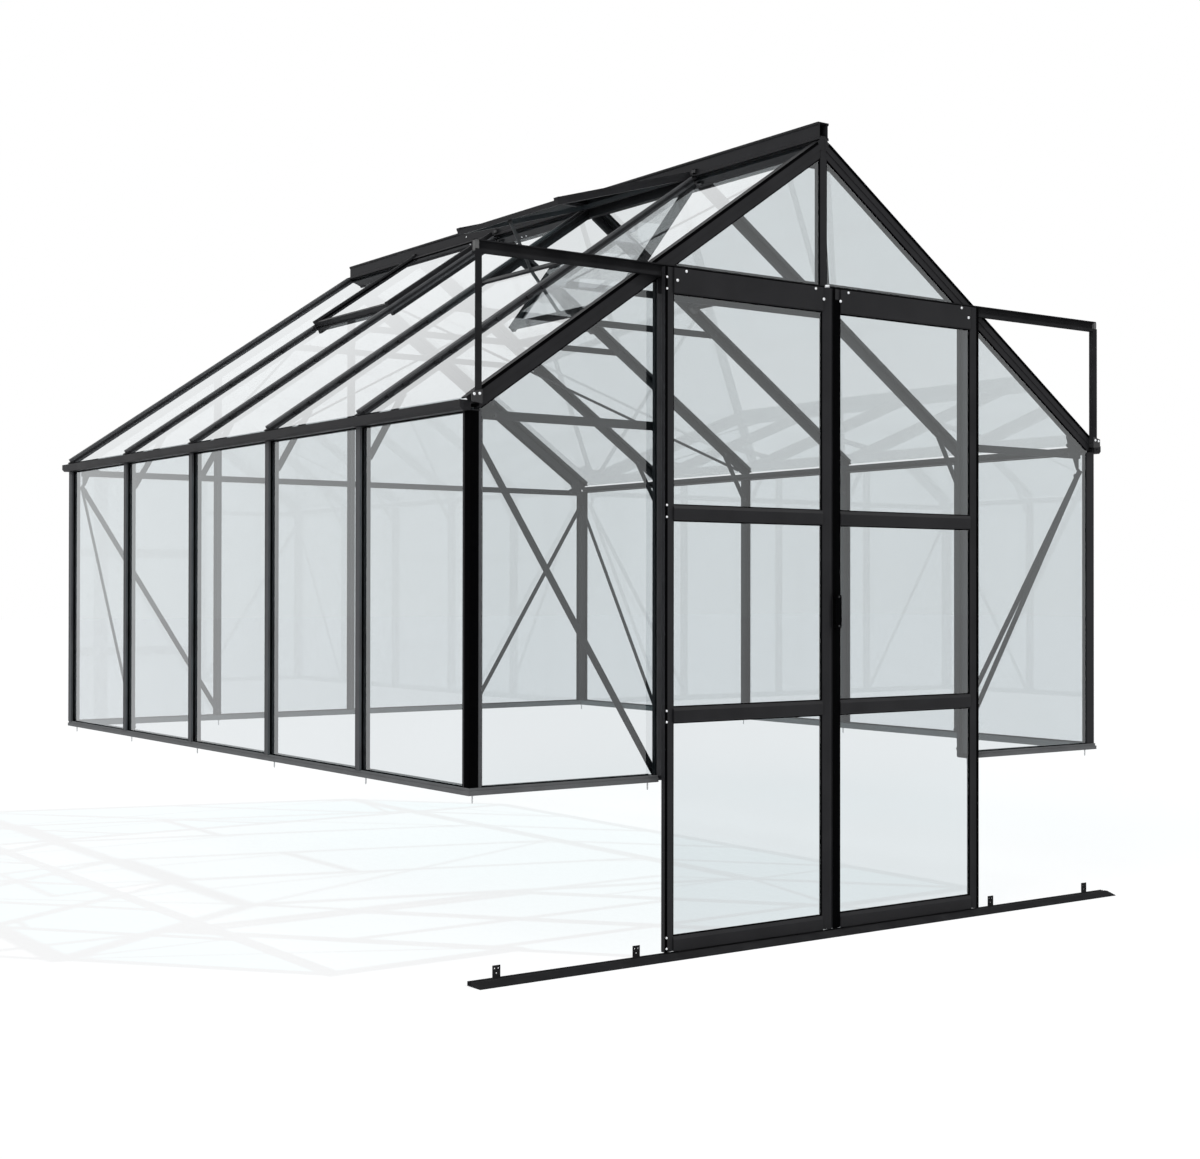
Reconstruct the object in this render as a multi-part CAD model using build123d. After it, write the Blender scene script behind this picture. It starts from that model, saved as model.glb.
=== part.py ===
from build123d import *
import os
from math import cos, radians, sin, tan

os.makedirs("parts", exist_ok=True)

# Overall sizes in mm, z = 0 at the underside of the sill, y = 0 at the rear gable
bay_length = 620
side_bays = 5
width = 2540
eave_height = 1072
roof_pitch = 34.5
door_drop = 500

# Glazing
glass = 4
cap = 4
cap_width = 26
lap = 8

# Bars, posts and sill
bar_depth = 32
web = 5
bead = 14
bead_depth = 12
corner_post = 28
corner_wall = 3
sill_base = 4
sill_lip = 20
sill_step = 12
sill_nose = 6
sill_inside = 45

# Eave beam and gutter
eave_drop = 44
beam_height = 24
gutter_reach = 34
gutter_height = 27
gutter_wall = 3
gutter_slant = 8
beam_toe = 12

# Rakes and ridge
rake_height = 48
rake_cap = 27
rake_shelf = 26
rake_overrun = 12
ridge_rise = 45
ridge_width = 44
ridge_neck = 20
ridge_skirt = 9
ridge_groove = 6
ridge_lip = 6
ridge_step = 4
ridge_wall = 3
ridge_short = 30

# Ties, crossbars and braces
flat = 4
crossbar_drop = 37
crossbar_height = 25
tie_rise = 465
tie_height = 24
tie_gap = 2
brace_width = 20
brace = 3
knee_drop = 90
knee_run = 110
gusset_arm = 110
gusset_base = 1
gusset_step = 14
peak_depth = 48

# Vents
vent_length = 560
vent_frame = 26
vent_height = 16
vent_open = 18.5
vent_bays_left = {1: vent_open, 3: 0}
vent_bays_right = {1: 0, 3: 0}
vent_side_gap = 2
hinge_radius = 4
hinge_gap = 0.3
slam_overlap = 4
slam_wall = 3
slam_lip = 22
opener_radius = 11
opener_length = 190
opener_slope = 43
opener_block = 28
stay_width = 12

# Doors
door_post = 628
leaf_width = 645
leaf_gap = 5
leaf_depth = 16
leaf_bevel = 5
leaf_standoff = 24
leaf_lift = 18
stile = 34
stile_edge = 9
rail_slope = 10
rail_edge = 3
header_height = 73
header_box = 40
mid_rail = 44
bottom_rail = 42
upper_mid_top = 793
lower_mid_top = 214
rail_top = 1485
rail_height = 35
rail_depth = 18
rail_wall = 3
rail_trim = 5
rail_toe = 9
header_lap = 12
slide_range = 620
wheel_radius = 12
wheel_width = 7
axle_radius = 3.5
wheel_inset = 90
run_gap = 0.3
hanger_width = 40
hanger = 3
strut = 20
strut_wall = 3
strut_foot = 24
guide = 6
guide_gap = 0.4
guide_length = 60
track_front = 80
track_back = 15
track_overrun = 15
track_floor = 3
track_rib = 9
track_wall = 3
track_crest = 12
bracket_height = 32
bracket_width = 24
bracket_corner = 75
bracket_door = 100
bracket_hole = 2.2
handle_height = 100
handle_width = 20
handle_inset = 0
handle_reach = 14
handle_foot = 10
handle_mid = 485

# Worked out from the sizes above
length = bay_length * side_bays
half = width / 2
pitch = radians(roof_pitch)
apex = eave_height + half * tan(pitch)
beam_bottom = eave_height - eave_drop
beam_top = beam_bottom + beam_height
gable_bay = width / 4
bar_lines = [-length + bay_length * k for k in range(1, side_bays)]
outward = 1 / cos(pitch)
crossbar_top = eave_height - crossbar_drop
tie_top = eave_height + tie_rise
rail_end = half - rail_trim
track_half = half + track_overrun
leaf_back = -length - leaf_standoff
leaf_front = leaf_back - leaf_depth
leaf_mid = (leaf_back + leaf_front + leaf_bevel) / 2
leaf_low = -door_drop + leaf_lift
leaf_high = rail_top - header_lap
hinge_x = ridge_width / 2 + hinge_radius + hinge_gap
hinge_z = apex - hinge_x * tan(pitch) + vent_height / 2 * outward
slam_wide = vent_frame + slam_overlap
slam_stop = vent_length - slam_overlap


def section(points):
    """A flat face in the XY plane through the points."""
    return make_face(Polyline(*points, close=True).edges())


def plate(points, origin, x_dir, z_dir, thick):
    """A flat plate with the given outline, thickened along z_dir."""
    place = Plane(origin=origin, x_dir=x_dir, z_dir=z_dir)
    return extrude(place * section(points), amount=thick)


def box(x0, x1, y0, y1, z0, z1):
    """A box between the given limits, in either order."""
    return Pos((x0 + x1) / 2, (y0 + y1) / 2, (z0 + z1) / 2) * Box(abs(x1 - x0), abs(y1 - y0), abs(z1 - z0))


def save(name, *solids):
    """One node of the part, as one file."""
    export_step(Compound(children=list(solids)), f"parts/{name}.step")


def roof_z(x, below=0):
    """Height of the roof plane at x, or of a plane that far below it."""
    return apex - abs(x) * tan(pitch) - below * outward


def under_roof(below, y0, y1, foot=-door_drop):
    """All the room under both roof slopes, for trimming what meets them."""
    wide = half * 2
    points = [(-wide, foot), (wide, foot), (wide, roof_z(wide, below))]
    points += [(0, roof_z(0, below)), (-wide, roof_z(wide, below))]
    return plate(points, (0, y1, 0), (1, 0, 0), (0, -1, 0), y1 - y0)


def tee(depth, cap_wide):
    """Glazing bar: a cap over the glass edges, a web between panes and a bead inside."""
    w, b, inner = web / 2, bead / 2, depth - bead_depth
    right = [(cap_wide / 2, 0), (cap_wide / 2, cap), (w, cap), (w, inner), (b, inner), (b, depth)]
    left = [(-x, y) for x, y in reversed(right)]
    return right + left


def wall_bar(x, y, inward, bottom, top, cap_wide=cap_width):
    """An upright glazing bar whose cap faces away from the inward direction."""
    across = (inward[1], -inward[0], 0)
    place = Plane(origin=(x, y, bottom), x_dir=across, z_dir=(0, 0, 1))
    return extrude(place * section(tee(bar_depth, cap_wide)), amount=top - bottom)


def slope_plane(side, y):
    """Plane across a roof slope: local x along the ridge, local y up out of the roof."""
    run = Vector(-side * cos(pitch), 0, sin(pitch))
    return Plane(origin=(side * half, y, eave_height), x_dir=(0, 1, 0), z_dir=run)


def along_slope(points, side, y, start, stop):
    """A section pushed along the slope, from start to stop measured up from the eave."""
    place = slope_plane(side, y)
    sign = 1 if place.y_dir.Z > 0 else -1
    outline = [(u, -v * sign) for u, v in points]
    shape = section(outline)
    return extrude(Plane(origin=place.origin + place.z_dir * start, x_dir=place.x_dir,
                         z_dir=place.z_dir) * shape, amount=stop - start)


def slope_at(x):
    """Distance up the slope from the eave to the given distance from the ridge line."""
    return (half - x) / cos(pitch)


def sill_run(start, along, inward, amount):
    """A run of the sill channel: base, stepped outer lip and inner upstand."""
    nose, inside, step = -sill_nose, sill_inside, sill_step
    points = [(nose, 0), (inside, 0), (inside, sill_lip), (inside - sill_base, sill_lip)]
    points += [(inside - sill_base, sill_base), (0, sill_base), (0, sill_lip)]
    points += [(nose / 2, sill_lip), (nose / 2, step), (nose, step)]
    place = Plane(origin=start, x_dir=inward, z_dir=along)
    sign = 1 if place.y_dir.Z > 0 else -1
    return extrude(place * section([(v, z * sign) for v, z in points]), amount=amount)


def make_sills():
    """Sill round the foot of the walls, mitred at the corners and open at the doorway."""
    out_x, in_x = half + sill_nose, half - sill_inside
    out_y, in_y = sill_nose, -sill_inside
    front_out, front_in = -length - sill_nose, -length + sill_inside

    def mitre(*corners):
        return extrude(section(corners), amount=sill_lip)

    side_run = length + 2 * sill_nose
    for word, side in (("left", -1), ("right", 1)):
        run = sill_run((side * half, front_out, 0), (0, 1, 0), (-side, 0, 0), side_run)
        room = mitre((side * out_x, front_out), (side * out_x, out_y), (side * in_x, in_y), (side * in_x, front_in))
        save(f"sill_{word}", run & room)
    rear = sill_run((-out_x, 0, 0), (1, 0, 0), (0, -1, 0), 2 * out_x)
    save("sill_rear", rear & mitre((-out_x, out_y), (out_x, out_y), (in_x, in_y), (-in_x, in_y)))
    front = sill_run((-out_x, -length, 0), (1, 0, 0), (0, 1, 0), 2 * out_x)
    edge = door_post + cap_width / 2
    pieces = []
    for side in (-1, 1):
        corners = [(side * out_x, front_out), (side * edge, front_out)]
        corners += [(side * edge, front_in), (side * in_x, front_in)]
        pieces.append(front & mitre(*corners))
    save("sills_front", *pieces)


def corner(x, y, sx, sy):
    """Hollow corner post with a lap over the glass on both its faces."""
    c, e = corner_post, corner_post + lap
    points = [(0, 0), (e, 0), (e, cap), (c, cap), (c, c), (cap, c), (cap, e), (0, e)]
    outline = section([(x + sx * u, y + sy * v) for u, v in points])
    t = corner_wall + cap
    hollow = [(t, t), (c - corner_wall, t), (c - corner_wall, c - corner_wall), (t, c - corner_wall)]
    inside = section([(x + sx * u, y + sy * v) for u, v in hollow])
    return extrude(Pos(0, 0, sill_base) * (outline - inside), amount=beam_bottom - sill_base, dir=(0, 0, 1))


def make_posts():
    """Corner posts, side posts, gable posts and the posts beside the doorway."""
    save("corner_posts", corner(-half, -length, 1, 1), corner(half, -length, -1, 1),
         corner(-half, 0, 1, -1), corner(half, 0, -1, -1))
    left = [wall_bar(-half, y, (1, 0), sill_base, beam_bottom) for y in bar_lines]
    right = [wall_bar(half, y, (-1, 0), sill_base, beam_bottom) for y in bar_lines]
    save("side_posts_left", *left)
    save("side_posts_right", *right)
    rear_trim = under_roof(rake_height, -bar_depth, 0)
    rear = []
    for x in (-gable_bay, 0, gable_bay):
        rear.append(wall_bar(x, 0, (0, -1), sill_base, apex) & rear_trim)
    save("rear_posts", *rear)
    front_trim = under_roof(rake_height, -length, -length + bar_depth)
    doors = []
    for x in (-door_post, door_post):
        doors.append(wall_bar(x, -length, (0, 1), sill_base, apex) & front_trim)
    doors.append(wall_bar(0, -length, (0, 1), rail_top, apex) & front_trim)
    save("front_posts", *doors)
    clear = door_post - cap_width / 2
    transom = box(-clear, clear, -length, -length + cap, rail_top - rail_height, rail_top)
    shelf = box(-clear, clear, -length + cap, -length + bar_depth,
                rail_top - rail_height, rail_top - rail_height + cap)
    save("door_transom", (transom + shelf) & front_trim)


def make_eaves():
    """Eave beam with the gutter outside it, open below the shelf that the bars stand on."""
    g, w, s = -gutter_reach, gutter_wall, gutter_slant
    low, high = beam_bottom, beam_top
    rim, toe = low + gutter_height, high - beam_toe
    points = [(g, rim), (g, low + s), (g + s, low), (bar_depth, low), (bar_depth, low + w)]
    points += [(w, low + w), (w, high - w), (bar_depth - w, high - w), (bar_depth - w, toe)]
    points += [(bar_depth, toe), (bar_depth, high), (0, high), (0, low + w)]
    points += [(g + s + w / 2, low + w), (g + w, low + s + w / 2), (g + w, rim)]
    for name, side in (("eave_left", -1), ("eave_right", 1)):
        across = Plane(origin=(0, 0, 0), x_dir=(1, 0, 0), z_dir=(0, -1, 0))
        outline = [(side * (half - v), z) for v, z in points]
        save(name, extrude(across * section(outline), amount=length))


def make_ridge():
    """Hollow ridge: a tall capped box over a narrow neck that the roof bars meet."""
    top, low = apex + ridge_rise, apex - ridge_skirt
    w, n, lip, t = ridge_width / 2, ridge_neck / 2, ridge_lip, ridge_wall
    face, foot, groove = w - ridge_step, low + ridge_groove, lip + ridge_step
    neck = roof_z(n, bar_depth) + cap
    right = [(n, neck), (n, low), (w, low), (w, foot), (face, foot + ridge_step)]
    right += [(face, top - groove), (w, top - lip), (w, top)]
    points = right + [(-x, z) for x, z in reversed(right)]
    inside = [(face - t, foot), (face - t, top - t), (t - face, top - t), (t - face, foot)]
    throat = [(n - t, neck + t), (n - t, low + 1), (t - n, low + 1), (t - n, neck + t)]
    place = Plane(origin=(0, -ridge_short, 0), x_dir=(1, 0, 0), z_dir=(0, -1, 0))
    shape = place * section(points) - place * section(inside) - place * section(throat)
    save("ridge", extrude(shape, amount=length - ridge_short))


def fit_slope(shape, side):
    """Trim a piece of one roof slope to the ridge's neck and skirt and to the eave beam."""
    y0, y1 = -length - 100, 100
    own = box(side * ridge_neck / 2, side * (half + 100), y0, y1, 0, apex + 100)
    skirt = box(0, side * ridge_width / 2, y0, y1, apex - ridge_skirt, apex + 100)
    notch = box(side * (half - bar_depth), side * (half + 100), y0, y1, 0, beam_top)
    return (shape & own) - skirt - notch


def rake(side, y, inward):
    """Gable edge of the roof: a front web, a flange over the glass and a shelf inside."""
    h, s = rake_height, rake_shelf
    points = [(0, 0), (cap_width, 0), (cap_width, cap), (cap, cap), (cap, s), (bar_depth, s)]
    points += [(bar_depth, h), (bar_depth - cap, h), (bar_depth - cap, s + cap), (cap, s + cap)]
    points += [(cap, h), (cap / 2, h), (cap / 2, rake_cap), (0, rake_cap)]
    points = [(u * inward, v) for u, v in points]
    return fit_slope(along_slope(points, side, y, -rake_overrun / cos(pitch), slope_at(0)), side)


def roof_bar(side, y):
    """Roof glazing bar from over the gutter up to the ridge, seated on the eave beam."""
    points = tee(bar_depth, cap_width)
    return fit_slope(along_slope(points, side, y, -rake_overrun / cos(pitch), slope_at(0)), side)


def make_roof_frame():
    """Rakes at both gables and the roof bars between them."""
    save("front_rakes", rake(-1, -length, 1), rake(1, -length, 1))
    save("rear_rakes", rake(-1, 0, -1), rake(1, 0, -1))
    for name, side in (("left", -1), ("right", 1)):
        save(f"roof_bars_{name}", *[roof_bar(side, y) for y in bar_lines])


def bar_between(start, stop, face, wide, thick):
    """A flat bar whose centre line joins two points, thickened along its face direction."""
    start, stop = Vector(*start), Vector(*stop)
    place = Plane(origin=start, x_dir=stop - start, z_dir=face)
    run = (stop - start).length
    return extrude(place * Pos(run / 2, 0) * Rectangle(run, wide), amount=thick)


def make_crossbars():
    """Flat bars across the gables at eave height, bolted inside the posts."""
    low, high = crossbar_top - crossbar_height, crossbar_top
    end = half - bar_depth
    front = -length + bar_depth
    left = box(-end, -door_post + bead / 2, front, front + flat, low, high)
    right = box(door_post - bead / 2, end, front, front + flat, low, high)
    rear = box(-end, end, -bar_depth - flat, -bar_depth, low, high)
    save("crossbars", left, right, rear)


def make_ties():
    """Collar ties across the roof, one beside each pair of roof bars."""
    ties = []
    room = under_roof(cap + glass + tie_gap, -length, 0)
    for y in bar_lines:
        side_face = y + bead / 2
        tie = box(-half, half, side_face, side_face + flat, tie_top - tie_height, tie_top)
        ties.append(tie & room)
    save("collar_ties", *ties)


def make_knees():
    """Short knee braces between each side post and its roof bar."""
    knees = []
    room = under_roof(bar_depth - bead_depth + tie_gap, -length, 0)
    for side in (-1, 1):
        post_x = half - bar_depth + bead_depth / 2
        roof_x = half - bar_depth - knee_run
        for y in bar_lines:
            foot = (side * post_x, y - bead / 2, beam_bottom - knee_drop)
            head = (side * roof_x, y - bead / 2, roof_z(roof_x, bar_depth - bead_depth / 2))
            knees.append(bar_between(foot, head, (0, -1, 0), brace_width, flat) & room)
    save("knee_braces", *knees)


def make_roof_braces():
    """Diagonal braces under both slopes, from each gable's peak down across two bays."""
    braces = []
    start = ridge_neck / 2 + brace_width
    stop = half - bar_depth - brace_width
    for side in (-1, 1):
        inward = (-side * sin(pitch), 0, -cos(pitch))
        for y0, y1 in ((-length, bar_lines[1]), (0, bar_lines[-2])):
            step = (bar_depth + brace_width) * (1 if y0 < y1 else -1)
            top = (side * start, y0 + step, roof_z(start, bar_depth))
            foot = (side * stop, y1, roof_z(stop, bar_depth))
            braces.append(bar_between(top, foot, inward, brace_width, brace))
    save("roof_braces", *braces)


def make_wall_braces():
    """Diagonal braces inside the corner bays, from the corner's top to the next post's foot."""
    high = crossbar_top - crossbar_height - brace_width * 2
    low = sill_base + brace_width
    inner = half - bar_depth
    braces = []
    for side, y0, y1 in ((-1, 0, bar_lines[-1]), (1, 0, bar_lines[-1]), (1, -length, bar_lines[0])):
        step = bar_depth if y0 < y1 else -bar_depth
        top = (side * inner, y0 + step, high)
        braces.append(bar_between(top, (side * inner, y1, low), (-side, 0, 0), brace_width, brace))
    for y, post, face in ((-bar_depth, gable_bay, -1), (-length + bar_depth, door_post, 1)):
        for side in (-1, 1):
            top = (side * inner, y, high)
            braces.append(bar_between(top, (side * post, y, low), (0, face, 0), brace_width, brace))
    save("wall_braces", *braces)


def make_gussets():
    """Star plates that join rake, crossbar and corner, and plates under both peaks."""
    high, low = crossbar_top, crossbar_top - crossbar_height
    tip, notch, base = gusset_arm, gusset_arm * 0.78, bar_depth + brace + gusset_base
    shelf = rake_shelf + cap
    plates = []
    for side in (-1, 1):
        def at(a, z):
            return (side * (half - a), z)
        reach = notch + gusset_step
        outline = [at(base, low - tip * 0.45), at(base + gusset_step, low - tip * 0.3)]
        outline += [at(base + gusset_step * 2, low), at(tip, low), at(tip, high), at(notch, high + gusset_step)]
        outline += [at(reach, roof_z(half - reach, rake_height))]
        outline += [at(reach - gusset_step / 2, roof_z(half - reach + gusset_step / 2, shelf))]
        outline += [at(base, roof_z(half - base, shelf))]
        for y in (-length + bar_depth + flat + brace, -bar_depth - flat):
            plates.append(plate(outline, (0, y, 0), (1, 0, 0), (0, -1, 0), brace))
    save("corner_gussets", *plates)
    peaks = []
    top = roof_z(ridge_neck / 2, bar_depth) + cap - brace
    low = top - peak_depth
    wide = (apex - low - shelf * outward) / tan(pitch)
    narrow = (apex - top - shelf * outward) / tan(pitch)
    outline = [(-wide, low), (wide, low), (narrow, top), (-narrow, top)]
    for y in (-length + bar_depth + brace, -bar_depth):
        peaks.append(plate(outline, (0, y, 0), (1, 0, 0), (0, -1, 0), brace))
    save("peak_gussets", *peaks)


def pane_edges(lines):
    """Pane limits between neighbouring bar centres, set back from each web."""
    edge = cap_width / 2 - lap
    return [(a + edge, b - edge) for a, b in zip(lines[:-1], lines[1:])]


def make_wall_glass():
    """Panes of the four walls, held behind the caps of the bars."""
    edge = cap_width / 2 - lap
    first = -length + corner_post + 1 - edge
    last = -corner_post - 1 + edge
    rows = pane_edges([first] + bar_lines + [last])
    low, high = sill_base, beam_bottom - 1
    for name, side in (("glass_left", -1), ("glass_right", 1)):
        x0, x1 = side * (half - cap), side * (half - cap - glass)
        save(name, *[box(x0, x1, a, b, low, high) for a, b in rows])
    end = half - corner_post - 1
    eaves = box(half - bar_depth, half, -length, 0, beam_bottom - 1, apex)
    eaves += box(-half + bar_depth, -half, -length, 0, beam_bottom - 1, apex)
    room = under_roof(rake_height - lap, -length, 0) - eaves
    rear_lines = [-end - edge, -gable_bay, 0, gable_bay, end + edge]
    rear = [box(a, b, -cap - glass, -cap, low, apex) & room for a, b in pane_edges(rear_lines)]
    save("glass_rear", *rear)
    front_y = -length + cap
    lower = [(-end, -door_post - edge), (door_post + edge, end)]
    front = [box(a, b, front_y, front_y + glass, low, apex) & room for a, b in lower]
    sill = rail_top - rail_height + cap
    upper = pane_edges([-door_post, 0, door_post])
    front += [box(a, b, front_y, front_y + glass, sill, apex) & room for a, b in upper]
    save("glass_front", *front)


def vent_plane(side, angle):
    """Plane of a vent at its hinge: local x down the slope, z out of the roof."""
    turn = pitch - radians(angle)
    down = (side * cos(turn), 0, -sin(turn))
    out = (side * sin(turn), 0, cos(turn))
    return Plane(origin=(side * hinge_x, 0, hinge_z), x_dir=down, z_dir=out)


def in_plane(place, x0, x1, y0, y1, z0, z1, side):
    """A box given in a vent's plane, with y0 and y1 as true places along the roof."""
    flip = 1 if place.y_dir.Y > 0 else -1
    lows, highs = sorted((y0 * flip, y1 * flip))
    return place * box(x0, x1, lows, highs, z0, z1)


def make_vents():
    """Roof vents hung from the ridge, their panes and the bars that they close on."""
    panes, slams = [], []
    h, f, r, gap = vent_height / 2, vent_frame, vent_frame - lap, vent_side_gap
    for word, side, vents in (("left", -1, vent_bays_left), ("right", 1, vent_bays_right)):
        for bay, angle in vents.items():
            y0, y1 = -length + bay * bay_length + gap, -length + (bay + 1) * bay_length - gap
            place = vent_plane(side, angle)
            frame = in_plane(place, gap, vent_length, y0, y1, -h, h, side)
            frame -= in_plane(place, gap + f, vent_length - f, y0 + f, y1 - f, -h, h, side)
            frame -= in_plane(place, gap + r, vent_length - r, y0 + r, y1 - r, 0, h, side)
            rod = Plane(origin=(side * hinge_x, y0, hinge_z), x_dir=(1, 0, 0), z_dir=(0, 1, 0))
            frame += extrude(rod * Circle(hinge_radius), amount=y1 - y0)
            frame += in_plane(place, 0, gap * 2, y0, y1, -h / 4, h / 4, side)
            end = "front" if bay < side_bays / 2 else "rear"
            save(f"vent_{word}_{end}", frame)
            panes.append(in_plane(place, gap + r, vent_length - r, y0 + r, y1 - r, 0, glass, side))
            shut, heel = vent_plane(side, 0), slam_stop - slam_wide
            a, b = y0 - gap + cap_width / 2, y1 + gap - cap_width / 2
            slam = in_plane(shut, heel, slam_stop, a, b, -h - cap, -h, side)
            slam += in_plane(shut, heel, heel + slam_wall, a, b, -h - slam_lip, -h, side)
            slams.append(slam)
    save("vent_glass", *panes)
    save("slam_bars", *slams)


def make_roof_glass():
    """Roof panes under the caps, cut short below the slam bar where a vent is hung."""
    end = cap_width - lap
    edge = cap_width / 2 - lap
    lines = [-length + end - edge] + bar_lines + [-end + edge]
    for name, side, vents in (("left", -1, vent_bays_left), ("right", 1, vent_bays_right)):
        panes = []
        for bay, (y0, y1) in enumerate(pane_edges(lines)):
            stop = slope_at(ridge_neck / 2 + ridge_groove)
            if bay in vents:
                stop = slope_at(hinge_x + (slam_stop - slam_wide + slam_wall) * cos(pitch)) - lap
            outline = [(0, cap), (y1 - y0, cap), (y1 - y0, cap + glass), (0, cap + glass)]
            panes.append(along_slope(outline, side, y0, -rake_overrun * 0.6, stop))
        save(f"roof_glass_{name}", *panes)


def make_opener():
    """Heat-driven opener of the open vent: a tube under the slam bar and a stay to the vent."""
    side, bay = -1, 1
    y = -length + (bay + 0.5) * bay_length
    shut, opened = vent_plane(side, 0), vent_plane(side, vent_open)
    h, wide = vent_height / 2, opener_block / 2
    heel, hang = slam_stop - slam_wide, vent_height / 2 + slam_lip
    block = in_plane(shut, heel - opener_radius, heel, y - wide, y + wide, -hang, -h - cap, side)
    foot = shut.origin + shut.x_dir * (heel - opener_radius / 2) - shut.z_dir * (hang - slam_lip / 3)
    down = Vector(-side * cos(radians(opener_slope)), 0, -sin(radians(opener_slope)))
    tube = Plane(origin=(foot.X, y, foot.Z), x_dir=(0, 1, 0), z_dir=down)
    body = extrude(tube * Circle(opener_radius), amount=opener_length)
    nose = Plane(origin=tube.origin + down * opener_length, x_dir=(0, 1, 0), z_dir=down)
    body += extrude(nose * Circle(opener_radius * 0.6), amount=opener_radius * 1.5)
    y0, y1 = y - opener_length, y + opener_length
    body -= in_plane(shut, heel, vent_length, y0, y1, -opener_length, opener_length, side)
    start = shut.origin + shut.x_dir * (slam_stop - slam_wide / 2) - shut.z_dir * (hang - slam_lip / 10)
    stop = opened.origin + opened.x_dir * (vent_length - vent_frame / 2)
    stay = bar_between((start.X, y, start.Z), (stop.X, y, stop.Z), (0, 1, 0), stay_width, brace)
    stay = stay & in_plane(shut, 0, vent_length, y0, y1, -h, vent_length, side)
    stay = stay & in_plane(opened, 0, vent_length, y0, y1, -vent_length, -h, side)
    save("vent_opener", body + block, stay)


def make_rail():
    """Top rail of the doors and the struts that stay its ends from the eave corners."""
    low, high, t, d = rail_top - rail_height, rail_top, rail_wall, rail_depth
    points = [(0, low), (0, high), (-d + cap, high), (-d + cap, high - t), (-cap, high - t), (-cap, low + t)]
    points += [(-d + t, low + t), (-d + t, low + rail_toe), (-d, low + rail_toe), (-d, low)]
    place = Plane(origin=(-rail_end, -length, 0), x_dir=(0, 1, 0), z_dir=(1, 0, 0))
    save("door_rail", extrude(place * section(points), amount=2 * rail_end))
    foot = roof_z(half - strut) - strut_foot
    front, back = -length - d, -length
    struts = []
    for side in (-1, 1):
        outer, inner = side * rail_end, side * (rail_end - strut)
        leg = side * (rail_end - strut + strut_wall)
        face = box(outer, inner, front, front + strut_wall, foot, low)
        web = box(inner, leg, front, back, foot, low)
        toe = box(outer, inner, front, back, foot, foot + strut_wall)
        struts.append(face + web + toe)
    save("rail_struts", *struts)


def make_track():
    """Threshold track: a ramp, a slot for the door guides and four fixing brackets."""
    low, floor, top = -door_drop, -door_drop + track_floor, -door_drop + track_floor + track_rib
    slot, w = guide / 2 + guide_gap, track_wall
    m, back = leaf_mid + length, -track_back
    points = [(-track_front, low), (back, low), (back, top), (back - w, top), (back - w, floor)]
    points += [(m + slot + w, floor), (m + slot + w, top), (m + slot, top), (m + slot, floor)]
    points += [(m - slot, floor), (m - slot, top), (m - slot - track_crest, top), (-track_front, low + w - 1)]
    place = Plane(origin=(-track_half, -length, 0), x_dir=(0, 1, 0), z_dir=(1, 0, 0))
    track = extrude(place * section(points), amount=2 * track_half)
    corner_x, door_x = half - bracket_corner, door_post + bracket_door
    rear = -length - track_back
    for x in (-corner_x, -door_x, door_x, corner_x):
        tab = box(x - bracket_width / 2, x + bracket_width / 2, rear - w, rear, top, top + bracket_height)
        for dx, dz in ((-0.25, 0.75), (0.25, 0.75), (0, 0.35)):
            centre = (x + bracket_width * dx, rear + w, top + bracket_height * dz)
            tab -= extrude(Plane(origin=centre, z_dir=(0, -1, 0)) * Circle(bracket_hole), amount=w * 3)
        track += tab
    save("door_track", track)


def stile_bar(x0, x1, glass_side):
    """Upright of a leaf: flat outer edge, face sloping towards the glass, groove for the pane."""
    outer, inner = (x0, x1) if glass_side == "right" else (x1, x0)
    step = 1 if inner > outer else -1
    y0, y1 = leaf_mid - glass / 2, leaf_mid + glass / 2
    points = [(outer, leaf_back), (outer, leaf_front), (outer + step * stile_edge, leaf_front)]
    points += [(inner, leaf_front + leaf_bevel), (inner, y0), (inner - step * lap, y0)]
    points += [(inner - step * lap, y1), (inner, y1), (inner, leaf_back)]
    return extrude(Pos(0, 0, leaf_low) * section(points), amount=leaf_high - leaf_low, dir=(0, 0, 1))


def cross_bar(x0, x1, z0, z1, sides):
    """Crosspiece of a leaf, sloped above and eased below, grooved on the named sides."""
    y0, y1 = leaf_mid - glass / 2, leaf_mid + glass / 2
    points = [(leaf_back, z0)]
    if "below" in sides:
        points += [(y1, z0), (y1, z0 + lap), (y0, z0 + lap), (y0, z0)]
        points += [(leaf_front + rail_edge, z0), (leaf_front, z0 + rail_edge)]
    else:
        points += [(leaf_front, z0)]
    if "above" in sides:
        points += [(leaf_front, z1 - rail_slope), (leaf_front + leaf_bevel, z1)]
        points += [(y0, z1), (y0, z1 - lap), (y1, z1 - lap), (y1, z1)]
    else:
        points += [(leaf_front, z1)]
    points += [(leaf_back, z1)]
    place = Plane(origin=(x0, 0, 0), x_dir=(0, 1, 0), z_dir=(1, 0, 0))
    return extrude(place * section(points), amount=x1 - x0)


def roller(x):
    """Hanger, axle and wheel that carry a leaf on the rail."""
    centre = rail_top - rail_height + rail_wall + run_gap + wheel_radius
    base = leaf_high - header_height + header_box
    wheel_back = -length - cap - wheel_width / 2
    plate_back = leaf_back - hanger
    top = centre + axle_radius + cap
    tab = box(x - hanger_width / 2, x + hanger_width / 2, plate_back - hanger, plate_back, base, top)
    axle = Plane(origin=(x, wheel_back, centre), z_dir=(0, -1, 0))
    body = extrude(axle * Circle(wheel_radius), amount=wheel_width)
    body += extrude(axle * Circle(axle_radius), amount=wheel_back - plate_back + 1)
    return body + tab


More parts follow.
